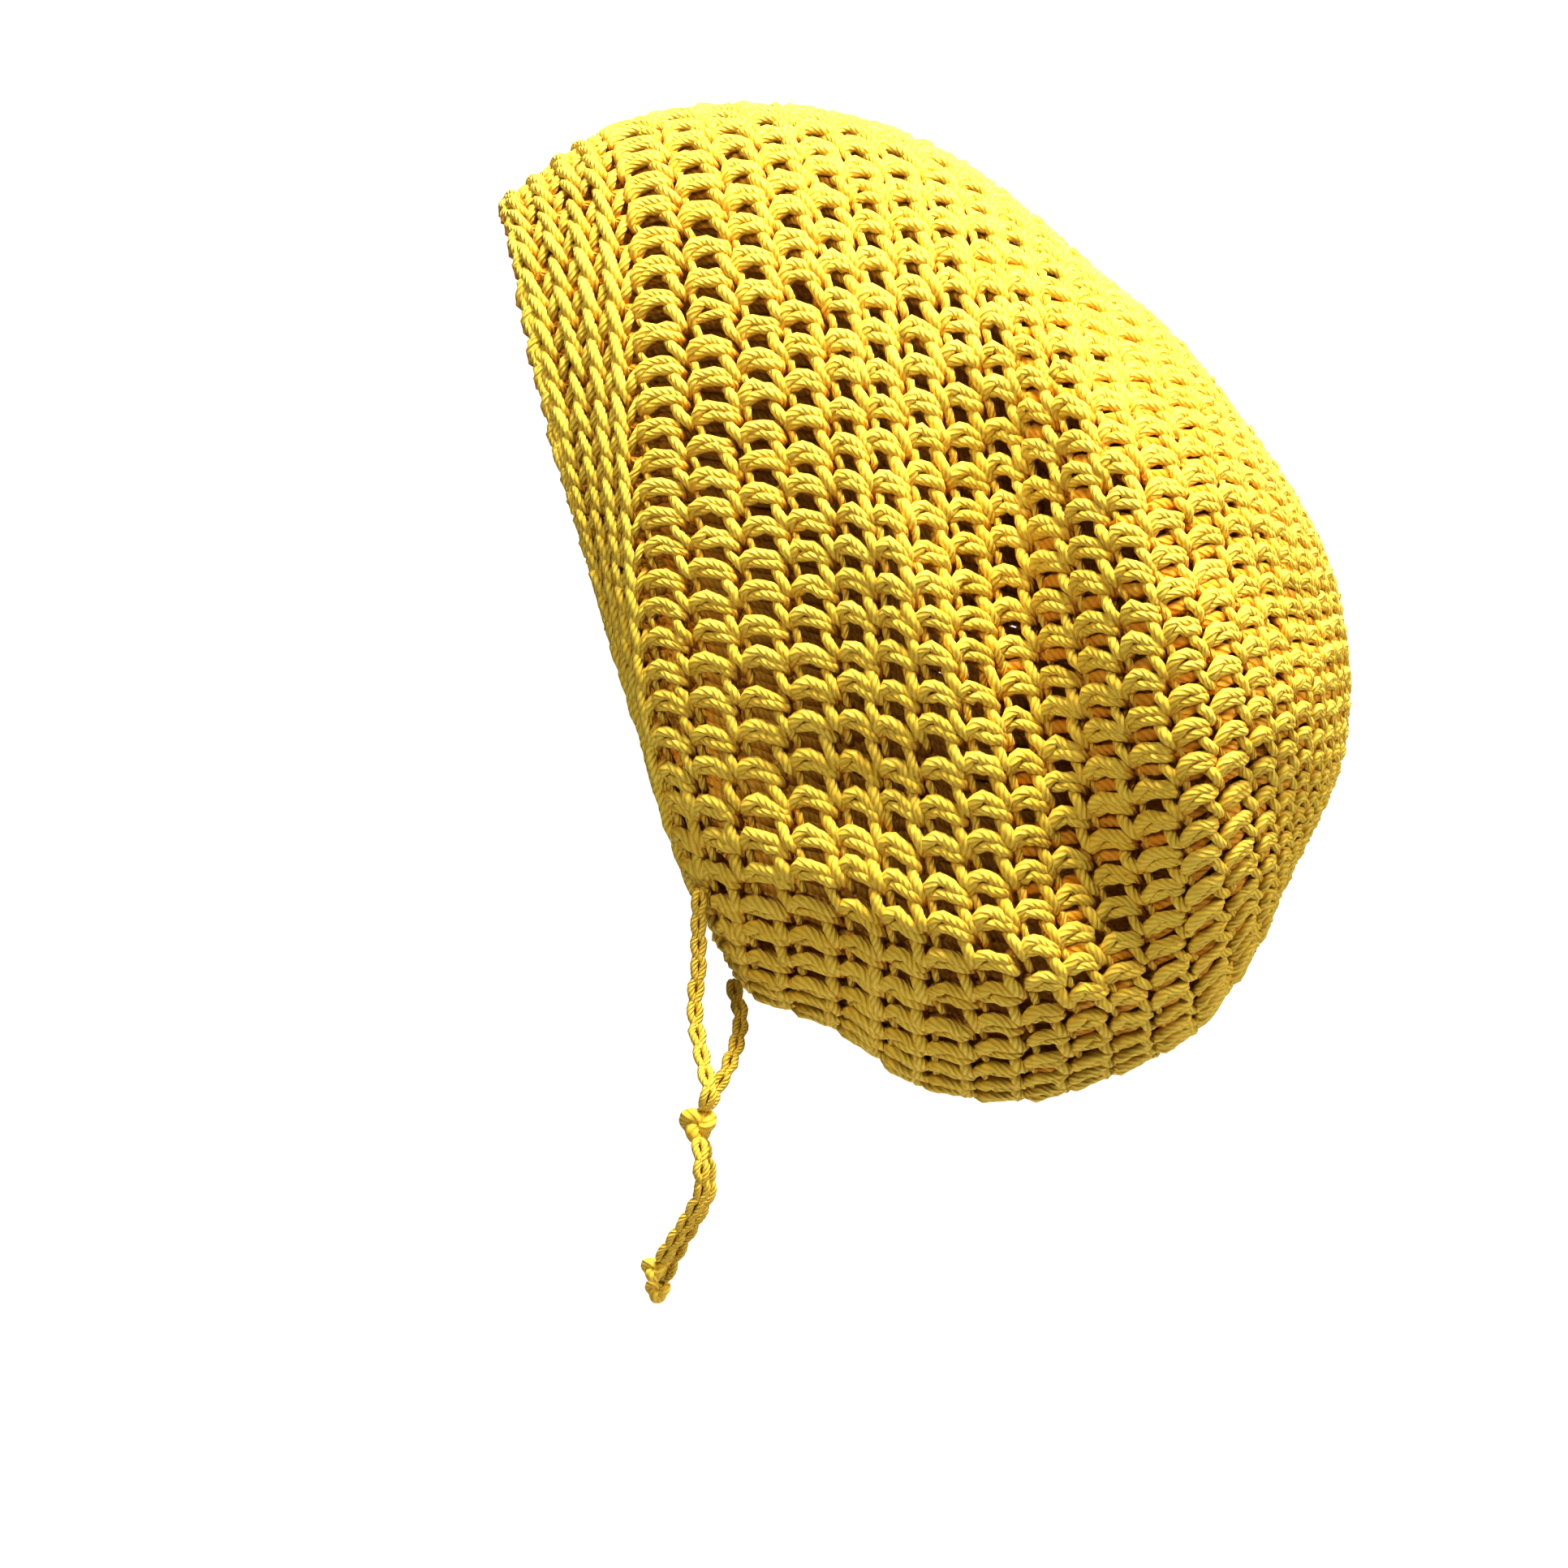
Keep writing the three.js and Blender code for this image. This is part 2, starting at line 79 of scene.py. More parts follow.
EDGE_RUN = -1.0
CENTRE_RUN = len(SECTIONS) - 1.0

# A column of the table is read at most this far before its first row
FIRST_READ = -0.3

# The band's free edge, measured from the seam: top_x, top_z, low_x and low_z as
# shares of the band's width, the bows as shares of the bag's depth
EDGE = {
    "top_x": -0.82,
    "top_z": -0.57,
    "low_x": 0.275,
    "low_z": 0.327,
    "bow_up": 0.002,
    "bow_low": -0.0745,
    "full": 0.92,
}

# Folds: side, start and end as shares of depth and height, bend and width as
# shares of depth, and how deep they go as a share of the bag's width
FOLD_NAMES = ("side", "from_x", "from_z", "to_x", "to_z", "bend", "width", "depth")
FOLDS = (
    (-1, 0.42, 0.16, 0.56, -0.33, 0.050, 0.066, 0.072),
    (-1, 0.26, 0.08, 0.48, -0.24, 0.000, 0.050, -0.022),
    (-1, 0.50, 0.17, 0.64, -0.30, -0.018, 0.075, -0.034),
    (-1, 0.16, -0.26, 0.52, -0.385, 0.010, 0.055, -0.035),
    (-1, 0.14, -0.17, 0.34, -0.20, 0.000, 0.050, 0.014),
    (-1, 0.62, 0.04, 0.76, -0.06, 0.000, 0.048, 0.022),
    (-1, 0.66, -0.19, 0.76, -0.22, 0.000, 0.045, 0.024),
    (1, 0.40, 0.18, 0.54, -0.34, 0.040, 0.066, 0.070),
    (1, 0.52, 0.16, 0.66, -0.28, -0.020, 0.070, -0.036),
    (1, 0.20, -0.22, 0.50, -0.36, 0.010, 0.060, -0.030),
    (1, 0.60, 0.02, 0.76, -0.09, 0.000, 0.050, 0.024),
)

# A fold fades over this share of its length before and after each end, towards
# the top and bottom of a section, and where half of the bag's width falls under
# this share of the whole
FOLD_END = 0.16
FOLD_FLANK = 0.5
FOLD_HALF = 0.3

# Makes the greatest bow of half a section as large as its value in the table
BOW_PEAK = 1.54

# One stitch of the open crochet, as lengths of yarn. Each row is a place: how
# far across the round, how far down from the stitch before, height above the
# middle of the fabric in millimetres, and thickness as a share of the yarn's.
ARCH_UPPER = (
    (0.17, 0.66, -1.6, 0.80),
    (0.15, 0.51, 0.2, 0.94),
    (0.18, 0.33, 1.6, 1.06),
    (0.28, 0.15, 2.2, 1.12),
    (0.42, 0.05, 2.1, 1.06),
    (0.58, 0.06, 1.8, 1.00),
    (0.76, 0.11, 1.7, 1.02),
    (0.92, 0.17, 0.9, 1.00),
    (1.03, 0.30, -1.4, 0.78),
)
ARCH_LOWER = (
    (0.17, 0.65, -1.6, 0.78),
    (0.21, 0.52, 0.0, 0.88),
    (0.34, 0.40, 1.2, 0.96),
    (0.52, 0.32, 1.7, 0.96),
    (0.68, 0.32, 1.9, 0.98),
    (0.84, 0.34, 1.7, 0.98),
    (0.96, 0.38, 0.6, 0.92),
    (1.04, 0.52, -1.5, 0.75),
)
ARM = (
    (0.74, 0.38, -1.4, 0.80),
    (0.80, 0.52, 0.4, 0.92),
    (0.87, 0.68, 1.5, 0.98),
    (0.96, 0.85, 2.0, 0.98),
    (1.05, 1.01, 1.5, 0.94),
    (1.11, 1.13, 0.1, 0.86),
    (1.14, 1.24, -1.6, 0.75),
)
LEG = (
    (0.18, 0.58, -0.9, 0.76),
    (0.24, 0.74, 0.5, 0.74),
    (0.28, 0.92, 0.4, 0.72),
    (0.30, 1.12, -1.2, 0.62),
)
LOOP_BACK = (
    (0.88, -0.10, -2.2, 0.80),
    (0.92, 0.25, -3.0, 0.85),
    (0.90, 0.65, -3.0, 0.85),
    (0.90, 1.10, -2.2, 0.80),
)
POST_BACK = (
    (-0.04, 0.46, -2.2, 0.80),
    (0.28, 0.32, -2.8, 0.90),
    (0.68, 0.34, -2.8, 0.90),
    (1.04, 0.48, -2.2, 0.80),
)
BACK_BAR = (
    (-0.12, 0.08, -2.2, 1.25),
    (0.34, 0.00, -2.8, 1.42),
    (0.66, 0.00, -2.8, 1.42),
    (1.12, 0.08, -2.2, 1.25),
)
BACK_BARS = 3
FILL_BAR = (
    (0.12, 0.88, -1.6, 1.00),
    (0.36, 0.76, -0.9, 1.36),
    (0.60, 0.70, -0.8, 1.40),
    (0.86, 0.72, -1.4, 1.10),
)

# What is worked at a cell of the fabric, as lengths with the sides of their
# tubes: a whole stitch, bars behind it, and slack yarn in its gap
OPEN_STITCH = (
    (ARCH_UPPER, 8),
    (ARCH_LOWER, 8),
    (ARM, 8),
    (LEG, 5),
    (LOOP_BACK, 5),
    (POST_BACK, 5),
)
BACKING = tuple(
    (tuple((across, down + bar / BACK_BARS, *rest) for across, down, *rest in BACK_BAR), 5)
    for bar in range(BACK_BARS)
)
FILLING = ((FILL_BAR, 6),)

# Each round and each rib starts this share of a stitch on from the one before
ROUND_SHIFT = 0.5
RIB_SHIFT = 0.3

# The gaps stay open in the first rounds. Over the next ones, slack yarn fills
# more and more of them. On the wearer's right, bars at the back of the fabric
# cross each gap from the first round on
OPEN_ROUNDS = 8
CLOSING_ROUNDS = 5

# The stitch pitch at which the yarn has its full thickness, the power by which
# thickness and height follow the pitch, and the least and greatest share
EASY_PITCH = 12.2 * MM
SWELL_POWER = 0.75
SWELL_LIMITS = (0.5, 1.1)

# How far stitches differ by chance: a whole stitch across and down, each place
# in it across, down and in millimetres of height, and each length's thickness
SWAY = (0.030, 0.055)
LOOSE = (0.018, 0.028, 0.26)
FATNESS = 0.06
BAG_SEED, BAND_SEED, CORD_SEED = 7, 5, 11

# Yarn stops this much of a section step short of the crown centre
CROWN_STOP = 0.02

# Heights over the fabric's middle between which the yarn's colour turns from
# the painted shade of the crevices to its open one, and the depths below the
# middle over which the painted shade eases partly on the inside of the fabric
PAINTED_SHADE_LOW = -1.8 * MM
PAINTED_SHADE_HIGH = 1.4 * MM
INSIDE_SHADE_EASE = 0.5
INSIDE_SHADE_HEIGHTS = (1.8 * MM, 2.6 * MM)

# One stitch of the band: the same columns, across one rib
RIB_LONG = (
    (0.06, -0.66, -1.6, 0.78),
    (0.10, -0.40, 0.6, 0.94),
    (0.18, -0.04, 2.1, 1.04),
    (0.29, 0.34, 2.6, 1.08),
    (0.40, 0.70, 2.3, 1.04),
    (0.50, 1.04, 0.9, 0.94),
    (0.55, 1.34, -1.6, 0.78),
)
RIB_SHORT = (
    (1.16, 0.12, -1.2, 0.80),
    (1.06, 0.30, 0.6, 0.92),
    (0.93, 0.52, 1.5, 1.00),
    (0.78, 0.74, 1.4, 1.00),
    (0.62, 0.96, -0.4, 0.84),
)
RIB_CORE = (
    (0.10, 0.10, -1.5, 0.80),
    (0.55, 0.02, -1.0, 0.90),
    (1.02, 0.14, -1.5, 0.80),
)
RIB_BACK = (
    (-0.05, 0.60, -2.4, 0.85),
    (0.50, 0.52, -2.9, 0.90),
    (1.05, 0.60, -2.4, 0.85),
)
RIB_STITCH = ((RIB_LONG, 7), (RIB_SHORT, 6), (RIB_CORE, 5), (RIB_BACK, 5))

# The loops that turn round the band's free edge
RIM_LOOP = (
    (0.50, -0.06, 0.2, 0.90),
    (0.16, 0.10, 1.8, 1.05),
    (-0.12, 0.34, 1.0, 1.10),
    (-0.22, 0.56, -1.0, 1.10),
    (-0.08, 0.78, -3.0, 1.05),
    (0.30, 0.92, -3.4, 0.90),
)
RIM_CHAIN = (
    (0.24, -0.24, 0.4, 0.80),
    (0.00, 0.06, 1.3, 1.00),
    (-0.06, 0.50, 0.9, 1.05),
    (0.00, 0.90, 1.3, 1.00),
    (0.24, 1.20, 0.2, 0.80),
)
RIM_STITCH = ((RIM_LOOP, 7), (RIM_CHAIN, 7))
RIM_INNER = ((RIM_CHAIN, 7),)

# At the temples the rim's loops stand forward by this share of a rib's width,
# fading in and out between these heights
RIM_LEAD = 0.28
TEMPLE_LOW = (0 * MM, 50 * MM)
TEMPLE_HIGH = (90 * MM, 130 * MM)

# Where more than this share of the lead is taken, a second chain lies behind
INNER_LEAD = 0.2

# One link of the chain-stitch cord: how far along the link, millimetres to the
# side and up from the cord's middle, and thickness as a share of the yarn's
LINK_ARM = (
    (-0.28, 0.10, -0.6, 0.85),
    (0.00, 0.90, 0.5, 1.00),
    (0.34, 1.75, 0.7, 1.05),
    (0.72, 1.45, 0.8, 1.02),
    (1.02, 0.60, 0.5, 0.95),
    (1.26, 0.10, -0.7, 0.80),
)
LINK_BACK = (
    (-0.10, 0.0, -0.8, 0.90),
    (0.30, 0.0, -1.8, 1.00),
    (0.70, 0.0, -1.8, 1.00),
    (1.10, 0.0, -0.8, 0.90),
)

# The drawstring's routes in metres, the same places as its solids
FRONT_STRAND = (
    (0.0288, -0.0570, -0.1103),
    (0.0286, -0.0548, -0.1180),
    (0.0284, -0.0526, -0.1270),
    (0.0284, -0.0520, -0.1387),
    (0.0272, -0.0524, -0.1485),
    (0.0278, -0.0544, -0.1593),
    (0.0306, -0.0592, -0.1720),
    (0.0326, -0.0642, -0.1806),
    (0.0308, -0.0623, -0.1869),
)
BACK_STRAND = (
    (0.0401, -0.0229, -0.1449),
    (0.0416, -0.0254, -0.1510),
    (0.0432, -0.0310, -0.1576),
    (0.0416, -0.0396, -0.1666),
    (0.0382, -0.0470, -0.1754),
    (0.0344, -0.0506, -0.1816),
    (0.0312, -0.0560, -0.1879),
)
FRONT_TAIL = (
    (0.0290, -0.0637, -0.1983),
    (0.0299, -0.0666, -0.2064),
    (0.0296, -0.0640, -0.2170),
    (0.0248, -0.0602, -0.2266),
    (0.0188, -0.0562, -0.2362),
    (0.0150, -0.0530, -0.2420),
)
BACK_TAIL = (
    (0.0290, -0.0567, -0.1985),
    (0.0314, -0.0536, -0.2074),
    (0.0318, -0.0524, -0.2177),
    (0.0273, -0.0500, -0.2279),
    (0.0214, -0.0468, -0.2384),
    (0.0156, -0.0432, -0.2506),
)
KNOT_PLACE = (0.0286, -0.0600, -0.1928)

# Reach and yarn thickness in metres of the tied knot and of the end knots, the
# points and sides of a knot's winding, and its curve's own reach and depth
TIED_KNOT = (0.0072, 0.0056)
END_KNOT = (0.0050, 0.0038)
KNOT_POINTS = 72
KNOT_SIDES = 9
CURL_REACH = 3.0
CURL_DEPTH = 1.1

# Points of a cord's route: as returned with its chain, along the chain, and
# for each given place in the search for even steps
ROUTE_POINTS = 24
CHAIN_POINTS = 200
SEARCH_POINTS = 40

# The chain's links: the way they face, the least number of them, points and
# sides of each length, chance differences in millimetres, and a small step in
# metres that keeps places apart which fall together at the ends of a cord
LINK_FACE = (0.25, -1.0, 0.0)
LINKS_LEAST = 3
LINK_POINTS = 9
LINK_SIDES = 7
LINK_LOOSE = 0.12
LINK_STEP = 1e-6

# The yarn's surface: the values of its shader's sockets, the length in metres
# over which the plies wind once round, and their number
YARN_SOCKETS = {
    "Roughness": 0.55,
    "Specular IOR Level": 0.38,
    "Sheen Weight": 0.10,
    "Sheen Roughness": 0.45,
}
PLY_PITCH, PLIES = 0.016, 6.0
CORD_PLY_PITCH, CORD_PLIES = 0.009, 5.0

# How sharp the ridges of the plies are, how closely the fibres' noise is set
# round, along and from length to length, and the heights of both in the bump
RIDGE_POWER = 1.2
FIBRE_SCALES = (5.0, 300.0, 40.0)
FIBRE_DETAIL = 3.0
RIDGE_HEIGHT = 0.75
FIBRE_HEIGHT = 0.45
BUMP_DISTANCE = 0.0005

# How broad patches and single lengths share in the yarn's change of colour,
# what dull and bright yarn multiply its colour by, and the greatest value
PATCH_SCALE = 28.0
PATCH_DETAIL = 2.0
LENGTH_SHARE = 0.5
PATCH_SHARE = 0.5
DULL = (0.95, 0.90, 0.75)
BRIGHT = (1.05, 1.10, 1.35)
BRIGHTEST = 0.97

# Painted shade: what the valleys between plies and the crevices between
# stitches multiply it by, a darker orange brown that stands in for their shade
PAINTED_PLY_SHADE_SHARE = 0.45
PAINTED_PLY_SHADE_COLOUR = (0.82, 0.46, 0.12, 1)
PAINTED_CREVICE_SHADE_COLOUR = (0.84, 0.47, 0.06, 1)

# The camera's place in metres, angle in degrees and sensor width in millimetres
CAMERA_PLACE = (0.0592, -1.1, -0.072)
CAMERA_ANGLE = 30.0
CAMERA_SENSOR = 36.0

# Studio lights: name, place, aim, size in metres, power in watts and colour
WARM = (1, 0.98, 0.95)
LIGHTS = (
    ("key", (0.35, -0.66, 1.34), (0.12, 0, 0), 0.6, 54, WARM),
    ("left", (-0.6, -1.4, 0.55), (-0.04, 0, 0.05), 0.6, 13, WARM),
    ("right", (1.5, -0.5, 0.5), (0.17, 0, -0.02), 0.8, 19, WARM),
    ("back", (0.6, 1.3, 0.6), (0.1, 0, 0), 0.9, 22, (1, 1, 1)),
)
SKY_COLOUR = (1, 0.97, 0.92, 1)
SKY_STRENGTH = 0.05
ROOM_COLOUR = (1, 1, 1, 1)
ROOM_STRENGTH = 1.05
ROOM_RADIUS = 6.0
FLOOR_PLACE = (0.1, 0, -0.9)
FLOOR_RADIUS = 0.8
FLOOR_ROUGHNESS = 0.9
VIEW_GAMMA = 0.72


class TamSizes(bpy.types.PropertyGroup):
    """Sizes of the tam."""

    bag_depth: bpy.props.FloatProperty(
        name="Bag depth",
        description="Depth that the worn bag's section shares are taken from",
        default=0.322,
        unit="LENGTH",
    )
    bag_height: bpy.props.FloatProperty(
        name="Bag height",
        description="Height that the worn bag's section shares are taken from",
        default=0.378,
        unit="LENGTH",
    )
    bag_width: bpy.props.FloatProperty(
        name="Bag width",
        description="Width that the worn bag's section shares are taken from",
        default=0.240,
        unit="LENGTH",
    )
    mouth_width: bpy.props.FloatProperty(
        name="Mouth width",
        description="Width of the band's opening, ear to ear",
        default=0.124,
        unit="LENGTH",
    )
    band_width: bpy.props.FloatProperty(
        name="Band width",
        description="Width of the ribbed band",
        default=0.041,
        unit="LENGTH",
    )
    fabric: bpy.props.FloatProperty(
        name="Fabric thickness",
        description="Thickness of the crochet fabric",
        default=0.006,
        unit="LENGTH",
    )
    yarn: bpy.props.FloatProperty(
        name="Yarn thickness",
        description="Diameter of the yarn as it lies in the fabric",
        default=0.0041,
        unit="LENGTH",
    )
    cord_yarn: bpy.props.FloatProperty(
        name="Cord yarn thickness",
        description="Diameter of the yarn in the drawstring",
        default=0.0027,
        unit="LENGTH",
    )
    cord_diameter: bpy.props.FloatProperty(
        name="Cord diameter",
        description="Diameter of the crocheted drawstring",
        default=0.0064,
        unit="LENGTH",
    )
    link_length: bpy.props.FloatProperty(
        name="Link length",
        description="Length of one chain stitch of the drawstring",
        default=0.0078,
        unit="LENGTH",
    )
    rounds: bpy.props.IntProperty(
        name="Rounds",
        description="Rounds of crochet between the band and the crown centre",
        default=24,
        min=12,
    )
    stitches: bpy.props.IntProperty(
        name="Stitches",
        description="Stitches in a full round",
        default=66,
        min=24,
    )
    crown_rounds: bpy.props.IntProperty(
        name="Crown rounds",
        description="Last rounds, each with fewer stitches than the one before",
        default=8,
        min=2,
    )
    ribs: bpy.props.IntProperty(
        name="Ribs",
        description="Ribs of the band",
        default=4,
        min=1,
    )


class TamColours(bpy.types.PropertyGroup):
    """Colours of the tam and of the place it is shown in."""

    bag_yarn: bpy.props.FloatVectorProperty(
        name="Bag yarn",
        description="Colour of the bag's yarn",
        default=(0.930, 0.735, 0.115),
        subtype="COLOR",
        size=3,
        min=0,
        max=1,
    )
    band_yarn: bpy.props.FloatVectorProperty(
        name="Band yarn",
        description="Colour of the band's yarn",
        default=(0.930, 0.755, 0.120),
        subtype="COLOR",
        size=3,
        min=0,
        max=1,
    )
    cord_yarn: bpy.props.FloatVectorProperty(
        name="Cord yarn",
        description="Colour of the drawstring's yarn",
        default=(0.920, 0.710, 0.105),
        subtype="COLOR",
        size=3,
        min=0,
        max=1,
    )
    floor: bpy.props.FloatVectorProperty(
        name="Floor",
        description="Colour of the floor",
        default=(0.900, 0.900, 0.900),
        subtype="COLOR",
        size=3,
        min=0,
        max=1,
    )


def smooth_step(low, high, value):
    """Rises smoothly from 0 at the low value to 1 at the high one."""
    u = np.clip((value - low) / (high - low), 0.0, 1.0)
    return u * u * (3 - 2 * u)


def smooth_column(values, at):
    """Values of one named column at places on a smooth curve through its rows."""
    last = len(values) - 1
    place = np.clip(at, FIRST_READ, last)
    i = np.clip(np.floor(place).astype(int), 0, last - 1)
    u = place - i
    extended = np.concatenate(
        ([2 * values[0] - values[1]], values, [2 * values[-1] - values[-2]])
    )
    a, b, c, d = (extended[i + step] for step in range(4))
    bend = (c - a) / 2
    next_bend = (d - b) / 2
    rise = 3 * (c - b) - 2 * bend - next_bend
    turn = 2 * (b - c) + bend + next_bend
    return b + u * (bend + u * (rise + u * turn))


class FabricShape:
    """The outer face of the bag and band, from the section and fold tables."""

    # Steps of run and turn over which the face's lean is measured
    LEAN_RUN = 0.2
    LEAN_TURN = 0.006

    def __init__(self, sizes):
        depth, height, width = sizes.bag_depth, sizes.bag_height, sizes.bag_width
        self.depth, self.height, self.width = depth, height, width
        self.fabric = sizes.fabric
        scale = np.array((depth, height, depth, height, width, depth, depth, 1.0))
        table = np.array(SECTIONS) * scale
        seam = dict(zip(SECTION_NAMES, table[0]))
        edge = [
            seam["top_x"] + EDGE["top_x"] * sizes.band_width,
            seam["top_z"] + EDGE["top_z"] * sizes.band_width,
            seam["low_x"] + EDGE["low_x"] * sizes.band_width,
            seam["low_z"] + EDGE["low_z"] * sizes.band_width,
            sizes.mouth_width / 2,
            EDGE["bow_up"] * depth,
            EDGE["bow_low"] * depth,
            EDGE["full"],
        ]
        self.rows = np.vstack((edge, table))

    def fold_depth(self, x, z, side):
        """How deep the folds press the face in, seen from its side."""
        depth = np.zeros_like(x)
        for row in FOLDS:
            fold = dict(zip(FOLD_NAMES, row))
            start_x = fold["from_x"] * self.depth
            start_z = fold["from_z"] * self.height
            run_x = fold["to_x"] * self.depth - start_x
            run_z = fold["to_z"] * self.height - start_z
            length = math.hypot(run_x, run_z)
            along = ((x - start_x) * run_x + (z - start_z) * run_z) / length**2
            bow = fold["bend"] * self.depth * (1 - (2 * along - 1) ** 2)
            across = ((x - start_x) * run_z - (z - start_z) * run_x) / length - bow
            inside = smooth_step(-FOLD_END, FOLD_END, along)
            inside *= smooth_step(-FOLD_END, FOLD_END, 1 - along)
            dent = inside * np.exp(-((across / (fold["width"] * self.depth)) ** 2))
            depth += np.where(side == fold["side"], fold["depth"] * self.width * dent, 0.0)
        return depth

    def outer(self, run, turn):
        """Points of the outer face; the turn goes once round from the top."""
        run, turn = np.broadcast_arrays(np.asarray(run, float), np.asarray(turn, float))
        section = {
            name: smooth_column(self.rows[:, k], run - EDGE_RUN)
            for k, name in enumerate(SECTION_NAMES)
        }
        half = np.maximum(section["half"], 0.0)
        rise_x = section["top_x"] - section["low_x"]
        rise_z = section["top_z"] - section["low_z"]
        half_height = np.hypot(rise_x, rise_z) / 2
        # Steps round a section stay even where it is taller than it is wide
        slim = (half_height - half) / np.maximum(2 * (half_height + half), MM)
        angle = 2 * math.pi * turn + slim * np.sin(4 * math.pi * turn)
        high = (1 + np.cos(angle)) / 2
        flank = np.abs(np.sin(angle))
        side = np.where(np.sin(angle) >= 0, 1, -1)
        bow = section["bow_up"] * high + section["bow_low"] * (1 - high)
        x = section["low_x"] + rise_x * high + BOW_PEAK * flank * bow
        z = section["low_z"] + rise_z * high
        reach = half * flank ** section["full"]
        hold = smooth_step(0, FOLD_FLANK, flank)
        hold *= smooth_step(0, FOLD_HALF * self.width, half)
        fold = self.fold_depth(x, z, side) * hold
        return np.stack((x, side * (reach - fold), z), axis=-1)

    def normal(self, run, turn):
        """The outer face's normals, from short steps along and round it."""
        before = np.maximum(run - self.LEAN_RUN, EDGE_RUN)
        after = np.minimum(run + self.LEAN_RUN, CENTRE_RUN - self.LEAN_RUN)
        before = np.minimum(before, after - self.LEAN_RUN)
        at = np.minimum(run, after)
        along = self.outer(after, turn) - self.outer(before, turn)
        around = self.outer(at, turn + self.LEAN_TURN)
        around = around - self.outer(at, turn - self.LEAN_TURN)
        normal = np.cross(along, around)
        return normal / np.linalg.norm(normal, axis=-1, keepdims=True)

    def place(self, run, turn, height):
        """Points at heights over the middle of the fabric, with their normals."""
        normal = self.normal(run, turn)
        lift = np.asarray(height)[..., None] - self.fabric / 2
        return self.outer(run, turn) + normal * lift, normal


def spline_rows(table, count):
    """A table's rows resampled to a number of places on a smooth curve."""
    at = np.linspace(0, len(table) - 1, count)
    columns = np.array(table, float).T
    return np.stack([smooth_column(column, at) for column in columns], axis=-1)


class YarnWork:
    """Collects closed lengths of yarn and makes one mesh of them."""

    def __init__(self):
        self.points = []
        self.faces = []
        self.face_map = []
        self.tints = []
        self.lifts = []
        self.count = 0

    def add(self, paths, ups, radii, sides, tints, lifts=None):
        """Adds a closed tube along each path.

        paths and ups are (lengths, places, 3), radii and lifts (lengths, places).
        A lift is 0 for yarn at the bottom of the stitches, which takes the full
        painted shade of the crevices, and 1 at their top, which takes none.
        """
        amount, places = radii.shape
        if lifts is None:
            lifts = np.ones((amount, places))
        tangent = np.gradient(paths, axis=1)
        tangent /= np.linalg.norm(tangent, axis=-1, keepdims=True)
        across = np.cross(tangent, ups)
        across /= np.linalg.norm(across, axis=-1, keepdims=True)
        rise = np.cross(across, tangent)
        angle = 2 * math.pi * np.arange(sides) / sides
        ring = (
            across[:, :, None, :] * np.cos(angle)[:, None]
            + rise[:, :, None, :] * np.sin(angle)[:, None]
        )
        points = paths[:, :, None, :] + ring * radii[:, :, None, None]
        steps = np.linalg.norm(np.diff(paths, axis=1), axis=-1)
        lengths = np.pad(np.cumsum(steps, axis=1), ((0, 0), (1, 0)))
        base = self.count + np.arange(amount)[:, None, None] * places * sides
        here = base + np.arange(places - 1)[None, :, None] * sides
        next_ring = here + sides
        s = np.arange(sides)[None, None, :]
        t = (s + 1) % sides
        quads = np.stack((here + s, here + t, next_ring + t, next_ring + s), axis=-1)
        low = lengths[:, :-1, None] + np.zeros((1, 1, sides))
        high = lengths[:, 1:, None] + np.zeros((1, 1, sides))
        start = np.broadcast_to(s / sides, low.shape)
        end = start + 1.0 / sides
        corners = ((low, start), (low, end), (high, end), (high, start))
        quad_map = np.stack([np.stack(corner, -1) for corner in corners], axis=3)
        first = base[:, 0, :] + np.arange(sides)[None, ::-1]
        last = base[:, 0, :] + (places - 1) * sides + np.arange(sides)[None, :]
        self.points.append(points.reshape(-1, 3))
        for faces in (quads.reshape(-1, 4), first, last):
            self.faces.extend(faces.tolist())
        self.face_map.append(quad_map.reshape(-1, 2))
        self.face_map.append(np.zeros((2 * amount * sides, 2)))
        self.tints.append(np.repeat(tints, places * sides))
        self.lifts.append(np.repeat(lifts.ravel(), sides))
        self.count += amount * places * sides

    def finish(self, name, material, node):
        """Makes the piece that replaces a solid, and hands it to the frame."""
        mesh = bpy.data.meshes.new(name)
        mesh.from_pydata(np.concatenate(self.points), [], self.faces)
        uv = mesh.uv_layers.new(name="yarn_map")
        face_map = np.concatenate(self.face_map).astype(np.float32)
        uv.uv.foreach_set("vector", face_map.ravel())
        for label, values in (("tint", self.tints), ("lift", self.lifts)):
            layer = mesh.attributes.new(label, "FLOAT", "POINT")
            layer.data.foreach_set("value", np.concatenate(values).astype(np.float32))
        mesh.polygons.foreach_set("use_smooth", np.ones(len(mesh.polygons), bool))
        mesh.materials.append(material)
        mesh.update()
        piece = bpy.data.objects.new(name, mesh)
        bpy.context.scene.collection.objects.link(piece)
        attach(piece, BODY)
        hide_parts(node)
        return piece


def multiplied(colour, factors):
    """A colour with its channels multiplied, up to the greatest value."""
    return (*[min(c * k, BRIGHTEST) for c, k in zip(colour, factors)], 1)


